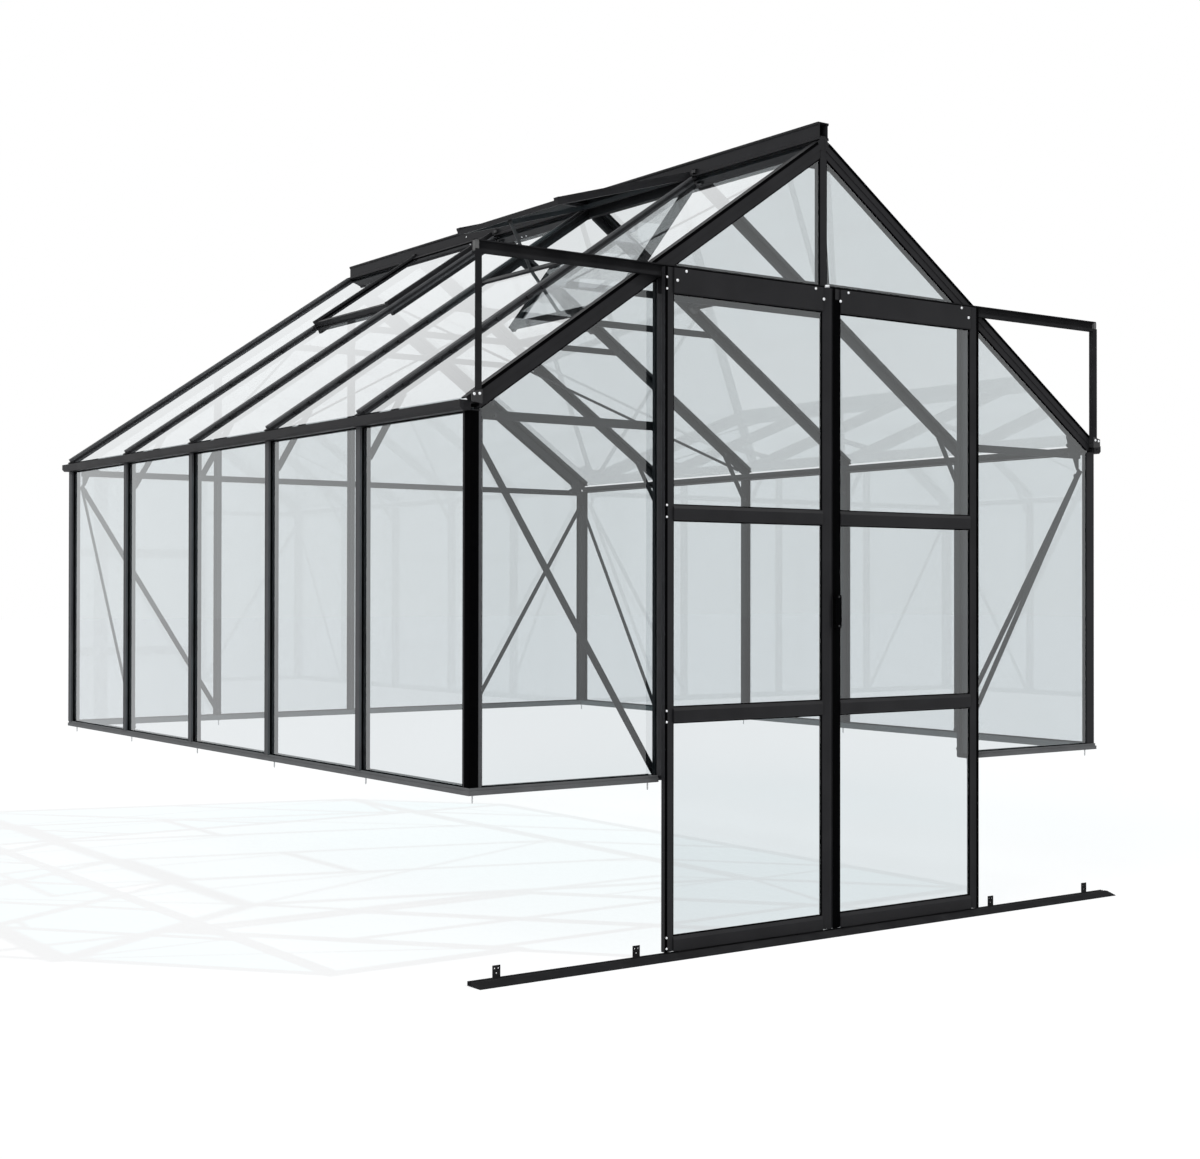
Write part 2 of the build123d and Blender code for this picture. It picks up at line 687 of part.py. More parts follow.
def make_leaf(word, side):
    """One sliding leaf: stiles, header, rails, three panes, rollers and floor guides."""
    x0, x1 = sorted((side * leaf_gap / 2, side * leaf_width))
    a, b = x0 + stile, x1 - stile
    save(f"door_{word}_stiles", stile_bar(x0, a, "right"), stile_bar(b, x1, "left"))
    head = leaf_high - header_height
    header = cross_bar(a, b, head, head + header_box, ("below",))
    header += box(a, b, leaf_front, leaf_front + cap, head + header_box, leaf_high)
    save(f"door_{word}_header", header)
    tops = (upper_mid_top, lower_mid_top)
    save(f"door_{word}_mid_rails", *[cross_bar(a, b, z - mid_rail, z, ("above", "below")) for z in tops])
    y0, y1 = leaf_mid - glass / 2, leaf_mid + glass / 2
    levels = [(leaf_low + bottom_rail, lower_mid_top - mid_rail)]
    levels += [(lower_mid_top, upper_mid_top - mid_rail), (upper_mid_top, head)]
    save(f"door_{word}_glass", *[box(a - lap, b + lap, y0, y1, z0 - lap, z1 + lap) for z0, z1 in levels])
    wheels = (x0 + wheel_inset, x1 - wheel_inset)
    save(f"door_{word}_rollers", *[roller(x) for x in wheels])
    base = cross_bar(a, b, leaf_low, leaf_low + bottom_rail, ("above",))
    bottom = -door_drop + track_floor + guide_gap
    for x in wheels:
        y = leaf_mid
        base += box(x - guide_length / 2, x + guide_length / 2, y - guide / 2, y + guide / 2, bottom, leaf_low)
    save(f"door_{word}_bottom_rail", base)


def make_handle():
    """Pull handle on the meeting stile of the right leaf."""
    x0 = leaf_gap / 2 + handle_inset
    x1 = x0 + handle_width
    low, high = handle_mid - handle_height / 2, handle_mid + handle_height / 2
    front, back = leaf_front - handle_reach, leaf_front + leaf_bevel
    grip = box(x0, x1, front - cap, front, low, high)
    for z in (low, high - handle_foot):
        grip += box(x0, x1, front, back, z, z + handle_foot)
    seat = stile_bar(leaf_gap / 2, leaf_gap / 2 + stile, "right")
    save("door_handle", grip - seat)


make_sills()
make_posts()
make_eaves()
make_ridge()
make_roof_frame()
make_crossbars()
make_ties()
make_knees()
make_roof_braces()
make_wall_braces()
make_gussets()
make_wall_glass()
make_roof_glass()
make_vents()
make_opener()
make_rail()
make_track()
make_leaf("left", -1)
make_leaf("right", 1)
make_handle()
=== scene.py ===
import math

import bmesh
import bpy
from mathutils import Matrix, Vector


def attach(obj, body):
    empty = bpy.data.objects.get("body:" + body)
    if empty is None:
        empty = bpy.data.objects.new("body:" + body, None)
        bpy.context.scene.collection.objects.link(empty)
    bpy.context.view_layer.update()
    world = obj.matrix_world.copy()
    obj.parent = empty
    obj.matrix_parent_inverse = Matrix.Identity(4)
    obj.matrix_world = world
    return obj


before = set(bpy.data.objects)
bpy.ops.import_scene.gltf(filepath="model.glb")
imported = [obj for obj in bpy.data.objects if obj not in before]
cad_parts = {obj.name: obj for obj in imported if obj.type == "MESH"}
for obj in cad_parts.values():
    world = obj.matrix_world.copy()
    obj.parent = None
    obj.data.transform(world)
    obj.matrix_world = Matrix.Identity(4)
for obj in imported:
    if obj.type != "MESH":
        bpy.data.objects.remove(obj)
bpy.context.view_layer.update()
scene = bpy.context.scene
sides = (("left", -1), ("right", 1))

# Main lines of the greenhouse in metres: y = 0 at the rear gable, z = 0 under the sill
width = 2.54
length = 3.1
bay = 0.62
eave_z = 1.072
pitch = math.radians(34.5)
half = width / 2
apex = eave_z + half * math.tan(pitch)
floor_z = -0.5
front_y = -length

# Posts, bars and rail
bars = [front_y + bay * k for k in range(1, 5)]
cap_half = 0.013
post_lap = 0.036
glass_inset = 0.004
sill_top = 0.02
beam_low = 1.028
door_post = 0.628
gable_post = width / 4
rake_drop = 0.048
rake_cap = 0.026
rail_top = 1.485

# Vents, each with the angle that it stands open by
hinge_x = 0.0263
vent_height = 0.016
vent_length = 0.56
vent_open = 18.5
vent_angles = {("left", 1): vent_open, ("left", 3): 0, ("right", 1): 0, ("right", 3): 0}

# Door leaves
leaf_front = -3.14
leaf_pane = (-3.1315, -3.1275)
leaf_inner = 0.0025
leaf_outer = 0.645
leaf_low = -0.482
leaf_high = 1.473
stile = 0.034
stile_flat = 0.009
stile_slope = 0.005
header_low = 1.4
header_box_top = 1.44
pane_rows = [(-0.44, 0.17), (0.214, 0.749), (0.793, header_low)]

# Seals, strips and thin covers
seal_wide = 0.0028
seal_deep = 0.003
strip_skin = 0.0012
strip_foot = 0.018
strip_reach = 0.027
flat_skin = 0.0008
cover_sink = 0.0005


# Camera at the photograph's viewing angle
def make_camera():
    yaw = 0.62073
    tilt = 0.0072
    roll = 0.00127
    position = (-3.79179, -7.22331, 0.54203)
    forward = Vector((math.sin(yaw) * math.cos(tilt), math.cos(yaw) * math.cos(tilt), math.sin(tilt)))
    level = forward.cross(Vector((0, 0, 1))).normalized()
    up = level.cross(forward)
    right = level * math.cos(roll) + up * math.sin(roll)
    up = right.cross(forward)
    data = bpy.data.cameras.new("camera")
    data.sensor_width = 36
    data.lens = 54.274
    data.clip_start = 0.1
    data.clip_end = 200
    camera = bpy.data.objects.new("camera", data)
    turn = Matrix((right, up, -forward)).transposed()
    camera.matrix_world = Matrix.Translation(position) @ turn.to_4x4()
    scene.collection.objects.link(camera)
    scene.camera = camera


# Shader helpers
def new_material(name):
    """An empty node material and its tree."""
    material = bpy.data.materials.new(name)
    material.use_nodes = True
    material.node_tree.nodes.clear()
    return material, material.node_tree


def add(tree, kind, **values):
    """A node of one kind with its settings."""
    node = tree.nodes.new(kind)
    for key, value in values.items():
        setattr(node, key, value)
    return node


def noise(tree, scale, detail):
    """Noise in object space."""
    place = add(tree, "ShaderNodeTexCoord")
    node = add(tree, "ShaderNodeTexNoise")
    node.inputs["Scale"].default_value = scale
    node.inputs["Detail"].default_value = detail
    tree.links.new(place.outputs["Object"], node.inputs["Vector"])
    return node.outputs["Fac"]


def ramp(tree, source, dark, light):
    """Colour that runs from dark to light over the source's middle range."""
    node = add(tree, "ShaderNodeValToRGB")
    for element, position, colour in zip(node.color_ramp.elements, (0.3, 0.7), (dark, light)):
        element.position = position
        element.color = (*colour, 1)
    tree.links.new(source, node.inputs["Fac"])
    return node.outputs["Color"]


def span(tree, source, low, high):
    """A number that runs from low to high over the source's middle range."""
    node = add(tree, "ShaderNodeMapRange")
    node.inputs["From Min"].default_value = 0.3
    node.inputs["From Max"].default_value = 0.7
    node.inputs["To Min"].default_value = low
    node.inputs["To Max"].default_value = high
    tree.links.new(source, node.inputs["Value"])
    return node.outputs["Result"]


def bump(tree, height, strength, distance):
    """Fine relief."""
    node = add(tree, "ShaderNodeBump")
    node.inputs["Strength"].default_value = strength
    node.inputs["Distance"].default_value = distance
    tree.links.new(height, node.inputs["Height"])
    return node.outputs["Normal"]


def mix(tree, share, first, second):
    """Two shaders mixed by a number or by another node's output."""
    node = add(tree, "ShaderNodeMixShader")
    if isinstance(share, float):
        node.inputs["Fac"].default_value = share
    else:
        tree.links.new(share, node.inputs["Fac"])
    tree.links.new(first, node.inputs[1])
    tree.links.new(second, node.inputs[2])
    return node.outputs["Shader"]


def finish(tree, shader, kind="ShaderNodeOutputMaterial"):
    """Send a shader to the tree's output."""
    out = add(tree, kind)
    tree.links.new(shader, out.inputs["Surface"])


def surface(name, dark, light, scale, rough, metallic=0.0, specular=0.5, grain=None):
    """A Principled material with mottled colour, varied roughness and a fine grain."""
    material, tree = new_material(name)
    shader = add(tree, "ShaderNodeBsdfPrincipled")
    shader.inputs["Metallic"].default_value = metallic
    shader.inputs["Specular IOR Level"].default_value = specular
    mottle = noise(tree, scale, 4)
    tree.links.new(ramp(tree, mottle, dark, light), shader.inputs["Base Color"])
    tree.links.new(span(tree, mottle, *rough), shader.inputs["Roughness"])
    if grain:
        size, strength, distance = grain
        fine = noise(tree, size, 2)
        tree.links.new(bump(tree, fine, strength, distance), shader.inputs["Normal"])
    finish(tree, shader.outputs["BSDF"])
    return material


def mirror_share(tree, strength):
    """How much a pane mirrors: Fresnel times a strength where a ray enters it, nothing where it leaves."""
    fresnel = add(tree, "ShaderNodeFresnel")
    fresnel.inputs["IOR"].default_value = 1.5
    side = add(tree, "ShaderNodeNewGeometry")
    front = add(tree, "ShaderNodeMath", operation="SUBTRACT")
    front.inputs[0].default_value = 1
    tree.links.new(side.outputs["Backfacing"], front.inputs[1])
    scaled = add(tree, "ShaderNodeMath", operation="MULTIPLY", use_clamp=True)
    scaled.inputs[1].default_value = strength
    tree.links.new(fresnel.outputs["Fac"], scaled.inputs[0])
    share = add(tree, "ShaderNodeMath", operation="MULTIPLY")
    tree.links.new(scaled.outputs["Value"], share.inputs[0])
    tree.links.new(front.outputs["Value"], share.inputs[1])
    return share.outputs["Value"]


def clear_glass(name, tint, gloss, strength):
    """Thin pane: each face tints what is behind it, and the face where a ray enters mirrors for both."""
    material, tree = new_material(name)
    through = add(tree, "ShaderNodeBsdfTransparent")
    pale = tuple(min(1, c * 1.012) for c in tint)
    tree.links.new(ramp(tree, noise(tree, 1.4, 2), tint, pale), through.inputs["Color"])
    mirror = add(tree, "ShaderNodeBsdfGlossy")
    mirror.inputs["Roughness"].default_value = 0.0
    mirror.inputs["Color"].default_value = (*gloss, 1)
    glass = mix(tree, mirror_share(tree, strength), through.outputs["BSDF"], mirror.outputs["BSDF"])
    shadow = add(tree, "ShaderNodeBsdfTransparent")
    shadow.inputs["Color"].default_value = (0.82, 0.97, 0.985, 1)
    path = add(tree, "ShaderNodeLightPath")
    finish(tree, mix(tree, path.outputs["Is Shadow Ray"], glass, shadow.outputs["BSDF"]))
    return material


# Powder-coated aluminium
paint = surface(
    "frame_paint", (0.011, 0.011, 0.0122), (0.016, 0.016, 0.0174), 9, (0.42, 0.55),
    specular=0.1, grain=(900, 0.12, 0.0004),
)
dull_paint = surface(
    "track_paint", (0.012, 0.012, 0.013), (0.02, 0.02, 0.021), 14, (0.75, 0.9),
    specular=0.02, grain=(600, 0.2, 0.0005),
)
# Lighter copy of the frame paint: painted light on the raised bar and post covers and on the post flats
painted_light_paint = surface(
    "painted_light_paint", (0.05, 0.051, 0.054), (0.066, 0.067, 0.07), 14, (0.5, 0.65),
    specular=0.1, grain=(900, 0.12, 0.0003),
)
sill_paint = surface(
    "sill_paint", (0.078, 0.08, 0.082), (0.1, 0.102, 0.105), 14, (0.5, 0.65),
    specular=0.1, grain=(900, 0.12, 0.0003),
)

# Glass
wall_pane = clear_glass("wall_pane", (0.864, 0.881, 0.888), (0.96, 0.99, 1.0), 2.2)
roof_pane = clear_glass("roof_pane", (0.86, 0.875, 0.88), (0.92, 0.94, 0.95), 1.8)

# Rollers, seals, screws and bolts
nylon = surface(
    "roller_nylon", (0.05, 0.05, 0.05), (0.08, 0.08, 0.08), 40, (0.45, 0.6),
    grain=(700, 0.1, 0.0003),
)
opener_metal = surface(
    "opener_metal", (0.03, 0.031, 0.033), (0.05, 0.051, 0.053), 30, (0.28, 0.4),
    metallic=0.4,
)
screw_cap = surface(
    "screw_cap", (0.72, 0.73, 0.74), (0.86, 0.87, 0.88), 260, (0.35, 0.5),
    grain=(1500, 0.1, 0.0002),
)
zinc = surface(
    "zinc_plate", (0.42, 0.43, 0.44), (0.58, 0.59, 0.6), 260, (0.3, 0.45),
    metallic=0.8, grain=(1500, 0.1, 0.0002),
)
# Near-black rubber of the real seals, also used as painted shade on the left front corner post and the
# right leaf's meeting stile
seal_and_shade_black = surface(
    "glazing_seal_and_painted_shade", (0.0006, 0.0006, 0.0008), (0.0014, 0.0014, 0.0016), 60, (0.8, 0.95),
    specular=0.01, grain=(500, 0.2, 0.0004),
)
bolt_black = surface(
    "bolt_black", (0.012, 0.012, 0.013), (0.022, 0.022, 0.024), 200, (0.35, 0.5),
    metallic=0.3, grain=(1200, 0.15, 0.0003),
)


# Materials of the carried-over nodes
def finish_for(name):
    if name.startswith("roof_glass") or name == "vent_glass":
        return roof_pane
    if "glass" in name:
        return wall_pane
    if name.endswith("_rollers"):
        return nylon
    if name == "vent_opener":
        return opener_metal
    if name in ("door_track", "door_rail", "rail_struts"):
        return dull_paint
    if name == "door_handle":
        return seal_and_shade_black
    if name.startswith("sill"):
        return sill_paint
    return paint


def dress_nodes():
    for name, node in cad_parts.items():
        for slot in node.material_slots:
            slot.material = finish_for(name)


# Mesh helpers for fittings
def place_at(origin, out, up=(0, 0, 1)):
    """Matrix with its origin at a point and its local z along the outward direction."""
    z = Vector(out).normalized()
    x = Vector(up).cross(z)
    x = x.normalized() if x.length > 0.001 else Vector((1, 0, 0))
    turn = Matrix((x, z.cross(x), z)).transposed()
    return Matrix.Translation(origin) @ turn.to_4x4()


def add_block(bm, low, high, place=None, trim=0.0006):
    """A block between two corners, with its edges eased."""
    made = bmesh.ops.create_cube(bm, size=1)["verts"]
    low = Vector(low)
    high = Vector(high)
    for vert in made:
        vert.co = Vector([a + (b - a) * (c + 0.5) for a, b, c in zip(low, high, vert.co)])
        if place:
            vert.co = place @ vert.co
    edges = list({edge for vert in made for edge in vert.link_edges})
    bmesh.ops.bevel(bm, geom=edges, offset=trim, segments=1, affect="EDGES", clamp_overlap=True)


def add_turned(bm, place, profile, steps=16):
    """A turned shape: the profile's radius and height pairs spun round local z."""
    rings = []
    for radius, height in profile:
        count = steps if radius > 0 else 1
        turns = [2 * math.pi * k / count for k in range(count)]
        points = [Vector((radius * math.cos(t), radius * math.sin(t), height)) for t in turns]
        rings.append([bm.verts.new(place @ point) for point in points])
    for a, b in zip(rings, rings[1:]):
        for k in range(steps):
            n = (k + 1) % steps
            corners = (a[k % len(a)], a[n % len(a)], b[n % len(b)], b[k % len(b)])
            bm.faces.new(list(dict.fromkeys(corners)))


def add_strip(bm, start, stop, out, wide, deep, trim=0.0003):
    """A straight strip between two points, standing out from the surface that they lie on."""
    start = Vector(start)
    stop = Vector(stop)
    run = (stop - start).length
    along = (stop - start).normalized()
    out = Vector(out).normalized()
    turn = Matrix((along, out.cross(along), out)).transposed()
    place = Matrix.Translation(start) @ turn.to_4x4()
    add_block(bm, (0, -wide / 2, 0), (run, wide / 2, deep), place, trim)


def add_frame(bm, corners, out, wide, deep, edges=(0, 1, 2, 3)):
    """Strips along the edges of an outline, laid just inside its corners."""
    points = [Vector(corner) for corner in corners]
    middle = sum(points, Vector()) / len(points)
    for k in edges:
        a = points[k]
        b = points[(k + 1) % len(points)]
        inward = Vector(out).normalized().cross(b - a).normalized()
        if inward.dot(middle - a) < 0:
            inward = -inward
        add_strip(bm, a + inward * wide / 2, b + inward * wide / 2, out, wide, deep)


def add_plate(bm, outline, thick):
    """A flat plate through the outline's points, thickened along a vector."""
    base = [bm.verts.new(Vector(point)) for point in outline]
    top = [bm.verts.new(Vector(point) + Vector(thick)) for point in outline]
    bm.faces.new(base)
    bm.faces.new(top[::-1])
    count = len(outline)
    for k in range(count):
        bm.faces.new((base[k], base[(k + 1) % count], top[(k + 1) % count], top[k]))


def add_screw(bm, origin, out, r):
    """Domed screw head with a round socket."""
    profile = [(0, 0.25), (0.3, 0.25), (0.36, 0.62), (0.55, 0.6)]
    profile += [(0.8, 0.42), (0.96, 0.18), (1, 0), (0, -0.1)]
    add_turned(bm, place_at(origin, out), [(a * r, b * r) for a, b in profile])


def add_bolt(bm, origin, out, r=0.0045):
    """Hexagon bolt head on a washer."""
    place = place_at(origin, out)
    washer = [(0, 0), (1.7, 0), (1.7, 0.2), (1.6, 0.28), (0, 0.28)]
    head = [(0, 0.25), (1.1, 0.25), (1.1, 0.85), (0.9, 1.05), (0, 1.05)]
    add_turned(bm, place, [(a * r, b * r) for a, b in washer])
    add_turned(bm, place, [(a * r, b * r) for a, b in head], steps=6)


def make_piece(name, bm, material, body="frame"):
    """Turn a mesh under work into a piece that rides on a body."""
    bmesh.ops.recalc_face_normals(bm, faces=bm.faces)
    mesh = bpy.data.meshes.new(name)
    bm.to_mesh(mesh)
    bm.free()
    mesh.materials.append(material)
    piece = bpy.data.objects.new(name, mesh)
    scene.collection.objects.link(piece)
    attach(piece, body)


# Places on the roof
def roof_z(x, below):
    """Height of a line that runs so far below the roof's face."""
    return apex - abs(x) * math.tan(pitch) - below / math.cos(pitch)


def on_roof(side, y, s, below=0.0):
    """Point on a roof slope, s up from the eave and so far below the slope."""
    x = half - s * math.cos(pitch) - below * math.sin(pitch)
    z = eave_z + s * math.sin(pitch) - below * math.cos(pitch)
    return Vector((side * x, y, z))


def roof_out(side):
    """Direction straight out of a roof slope."""
    return Vector((side * math.sin(pitch), 0, math.cos(pitch)))


def roof_place(side, y):
    """Matrix at the eave: local x along the slope towards the left, y along the roof, z out of it."""
    out = roof_out(side)
    axes = Matrix((out.cross((0, 1, 0)), (0, 1, 0), out)).transposed()
    return Matrix.Translation(on_roof(side, y, 0)) @ axes.to_4x4()


def vent_place(side, angle, y):
    """Matrix of a vent at its hinge: local x down the vent, z out of it, y across."""
    turn = pitch - math.radians(angle)
    down = Vector((side * math.cos(turn), 0, -math.sin(turn)))
    out = Vector((side * math.sin(turn), 0, math.cos(turn)))
    z = apex - hinge_x * math.tan(pitch) + vent_height / 2 / math.cos(pitch)
    axes = Matrix((down, out.cross(down), out)).transposed()
    return Matrix.Translation((side * hinge_x, y, z)) @ axes.to_4x4()


# Sliding leaves
def make_leaf(word, side):
    """Seals round the panes of one leaf, a strip down its outer edge and its screws."""
    body = f"door_{word}"
    seals = bmesh.new()
    x0 = side * (leaf_inner + stile)
    x1 = side * (leaf_outer - stile)
    for z0, z1 in pane_rows:
        for y, out in zip(leaf_pane, (-1, 1)):
            corners = [(x0, y, z0), (x1, y, z0), (x1, y, z1), (x0, y, z1)]
            add_frame(seals, corners, (0, out, 0), 0.003, 0.0028)
    make_piece(f"leaf_seals_{word}", seals, seal_and_shade_black, body)

    edge = bmesh.new()
    face = leaf_front - strip_skin
    outer = side * leaf_outer
    flat = side * (leaf_outer - stile_flat)
    add_block(edge, (outer, face, leaf_low), (flat, leaf_front, leaf_high), trim=0.0004)
    make_piece(f"leaf_edge_{word}", edge, seal_and_shade_black, body)

    screws = bmesh.new()
    header_screws = [(0.0345, 1.437, 0.0046), (0.0675, 1.466, 0.0042)]
    header_screws += [(0.5675, 1.466, 0.0042), (0.6, 1.437, 0.0046)]
    for x, z, r in header_screws:
        add_screw(screws, (side * x, leaf_front, z), (0, -1, 0), r)
    if side < 0:
        for z in (1.443, 1.41, 0.792, 0.758, 0.205, 0.173, -0.441, -0.472):
            add_screw(screws, (-0.6385, face, z), (0, -1, 0), 0.0034)
    make_piece(f"leaf_screws_{word}", screws, screw_cap, body)


def make_meeting_shade():
    """Black sheet over the right leaf's meeting stile, painted shade on its front faces, and the brush
    that closes the gap.
    """
    bm = bmesh.new()
    face = leaf_front - strip_skin
    back = leaf_front + stile_slope
    flat = leaf_inner + stile_flat
    inner = leaf_inner + stile
    points = [(leaf_inner, leaf_front), (leaf_inner, face), (flat, face)]
    points += [(inner, back - strip_skin), (inner, back), (flat, leaf_front)]
    add_plate(bm, [(x, y, leaf_low) for x, y in points], (0, 0, header_box_top - leaf_low))
    add_block(bm, (leaf_inner, face, header_box_top), (flat, leaf_front, leaf_high), trim=0.0004)
    add_block(bm, (0.0004, -3.1345, leaf_low), (leaf_inner, -3.1295, 1.47))
    make_piece("meeting_painted_shade", bm, seal_and_shade_black, "door_right")


def make_handle_screws():
    bm = bmesh.new()
    for z in (0.4405, 0.5295):
        add_screw(bm, (0.0125, -3.158, z), (0, -1, 0), 0.0032)
    make_piece("handle_screws", bm, bolt_black, "door_right")


# Walls: seals, beads, strips and covers
def add_gable_seal(bm, x0, x1, y, low, out, edges=(0, 1, 2, 3)):
    """Seal round a gable pane that ends under the rake."""
    corners = [(x0, y, low), (x1, y, low), (x1, y, roof_z(x1, rake_drop)), (x0, y, roof_z(x0, rake_drop))]
    add_frame(bm, corners, (0, out, 0), seal_wide, seal_deep, edges)


def make_wall_seals():
    """Seals round the panes of the side walls and both gables."""
    bm = bmesh.new()
    lines = [front_y + post_lap] + bars + [-post_lap]
    laps = [cap_half if y in bars else 0 for y in lines]
    for side in (-1, 1):
        x = side * (half - glass_inset)
        for k in range(5):
            y0 = lines[k] + laps[k]
            y1 = lines[k + 1] - laps[k + 1]
            corners = [(x, y0, sill_top), (x, y1, sill_top), (x, y1, beam_low), (x, y0, beam_low)]
            add_frame(bm, corners, (side, 0, 0), seal_wide, seal_deep)
    corner = half - post_lap
    front_glass = front_y + glass_inset
    for side in (-1, 1):
        add_gable_seal(bm, side * corner, side * (door_post + cap_half), front_glass, sill_top, -1, (0, 2))
        add_gable_seal(bm, side * (door_post - cap_half), side * cap_half, front_glass, rail_top, -1)
        for outer, inner in ((corner, gable_post + cap_half), (gable_post - cap_half, cap_half)):
            add_gable_seal(bm, side * outer, side * inner, -glass_inset, sill_top, 1)
    make_piece("wall_seals", bm, seal_and_shade_black)


def make_glass_beads():
    """Beads behind the glass: inside the front corner posts and above the rail."""
    bm = bmesh.new()
    y0 = front_y + 0.0085
    y1 = front_y + 0.0125
    for side in (-1, 1):
        add_block(bm, (side * (half - post_lap), y0, sill_top), (side * (half - 0.0455), y1, beam_low))
    reach = door_post - cap_half
    add_block(bm, (-reach, y0, rail_top), (reach, y1, rail_top + 0.012))
    make_piece("glass_beads", bm, paint)


def make_corner_shade():
    """Black sheet that wraps the left front corner post: painted shade on its front and outer side."""
    bm = bmesh.new()
    outer = -half - strip_skin
    face = front_y - strip_skin
    add_block(bm, (outer, face, strip_foot), (-half + strip_reach, front_y, beam_low), trim=0.0004)
    add_block(bm, (outer, front_y, strip_foot), (-half, front_y + strip_reach, beam_low), trim=0.0004)
    make_piece("corner_painted_shade", bm, seal_and_shade_black)


def make_painted_light_flats():
    """Flats on the fronts of the left corner post and both door posts, in the lighter copy of the frame
    paint: painted light on faces that lie in shade.
    """
    bm = bmesh.new()
    face = front_y - flat_skin
    low = (-half + strip_reach, face, strip_foot)
    high = (-half + post_lap, front_y, beam_low)
    add_block(bm, low, high, trim=0.0003)
    for side in (-1, 1):
        low = (side * (door_post - cap_half), face, strip_foot)
        high = (side * (door_post + cap_half), front_y, header_low)
        add_block(bm, low, high, trim=0.0003)
    make_piece("painted_light_flats", bm, painted_light_paint)


def make_post_covers():
    """Raised covers on the posts of the side walls, in the lighter copy of the frame paint: painted light
    on their faces.
    """
    bm = bmesh.new()
    rise = 0.006
    top = beam_low - 0.001
    for side in (-1, 1):
        inner = side * (half - cover_sink)
        outer = side * (half + rise)
        for y in bars:
            add_block(bm, (inner, y - cap_half, sill_top), (outer, y + cap_half, top), trim=0.0014)
        add_block(bm, (inner, -post_lap + 0.004, sill_top), (outer, -0.002, top), trim=0.0014)
    make_piece("post_covers", bm, painted_light_paint)


# Bolts and anchor pins
def make_frame_bolts():
    """Bolts through gussets, crossbars, ties and braces, with heads on both sides."""
    bm = bmesh.new()
    cross_z = 1.0225
    tie_z = 1.525
    peak_z = 1.862
    brace_top = 0.952
    brace_foot = 0.042
    small = 0.004
    corner_bolts = [(0.052, cross_z, 0.004), (0.098, cross_z, 0.004), (0.056, 1.072, 0), (0.09, 1.055, 0)]
    for side in (-1, 1):
        for inset, z, thick in corner_bolts:
            x = side * (half - inset)
            add_bolt(bm, (x, front_y + 0.039, z), (0, 1, 0))
            add_bolt(bm, (x, front_y + 0.036 - thick, z), (0, -1, 0))
            add_bolt(bm, (x, -0.039, z), (0, -1, 0))
            add_bolt(bm, (x, -0.036 + thick, z), (0, 1, 0))
        for x in (0.024, 0.05):
            add_bolt(bm, (side * x, front_y + 0.035, peak_z), (0, 1, 0), small)
            add_bolt(bm, (side * x, -0.035, peak_z), (0, -1, 0), small)
        for y in bars:
            add_bolt(bm, (side * 1.244, y - 0.011, 0.944), (0, -1, 0))
            add_bolt(bm, (side * 1.135, y - 0.011, roof_z(1.135, 0.026)), (0, -1, 0))
            add_bolt(bm, (side * 0.578, y - 0.007, tie_z), (0, -1, 0), small)
            add_bolt(bm, (side * 0.578, y + 0.011, tie_z), (0, 1, 0), small)
        braces = [(-0.032, bars[-1])]
        if side > 0:
            braces.append((front_y + 0.032, bars[0]))
        for start, stop in braces:
            lean = 0.02 if stop > start else -0.02
            x = side * (half - 0.035)
            add_bolt(bm, (x, start + lean, brace_top), (-side, 0, 0))
            add_bolt(bm, (x, stop - lean * 0.4, brace_foot), (-side, 0, 0))
        for x, y, out in ((gable_post, -0.035, -1), (door_post, front_y + 0.035, 1)):
            add_bolt(bm, (side * (half - 0.048), y, brace_top), (0, out, 0))
            add_bolt(bm, (side * (x + 0.01), y, brace_foot), (0, out, 0))
    make_piece("frame_bolts", bm, bolt_black)


def make_anchor_pins():
    """Threaded pins with a nut, hanging under the sill where it is fixed to its base."""
    bm = bmesh.new()
    inset = 0.022
    pin = [(0, 0.002), (0.0022, 0.002), (0.0022, -0.02), (0.0012, -0.024), (0, -0.024)]
    nut = [(0, 0.001), (0.0045, 0.001), (0.0045, -0.003), (0.004, -0.0036), (0, -0.0036)]
    wall_spots = [front_y + inset] + bars + [-inset]
    gable_spots = [(0.66, front_y + inset), (gable_post, -inset)]
    spots = [(side * (half - inset), y) for side in (-1, 1) for y in wall_spots]
    spots += [(side * x, y) for side in (-1, 1) for x, y in gable_spots]
    for x, y in spots:
        place = Matrix.Translation((x, y, 0))
        add_turned(bm, place, pin, 10)
        add_turned(bm, place, nut, 6)
    make_piece("anchor_pins", bm, zinc)


# Gutters, rail and ridge
def make_gutter_ends():
    """Plates that close the gutters, each with a small bolt."""
    bm = bmesh.new()
    outline = [(1.304, 1.055), (1.304, 1.036), (1.296, 1.028), (1.27, 1.028), (1.27, 1.055)]
    for side in (-1, 1):
        for y, thick in ((front_y, -0.0025), (0, 0.0025)):
            add_plate(bm, [(side * x, y, z) for x, z in outline], (0, thick, 0))
            add_bolt(bm, (side * 1.286, y + thick, 1.042), (0, thick, 0), 0.0025)
    make_piece("gutter_ends", bm, paint)


def make_rail_shoes():
    """Shoes that hold the feet of the rail's struts to the rakes."""
    bm = bmesh.new()
    screws = bmesh.new()
    y = front_y - 0.018
    thick = 0.003
    outline = [(1.278, 1.05), (1.244, 1.046), (1.244, 1.084), (1.278, 1.076)]
    for side in (-1, 1):
        add_plate(bm, [(side * x, y, z) for x, z in outline], (0, -thick, 0))
        add_block(bm, (side * 1.246, y, 1.05), (side * 1.264, front_y, 1.062))
        for x, z in ((1.27, 1.07), (1.253, 1.072)):
            add_screw(screws, (side * x, y - thick, z), (0, -1, 0), 0.0042)
    make_piece("rail_shoes", bm, bolt_black)
    make_piece("shoe_screws", screws, screw_cap)


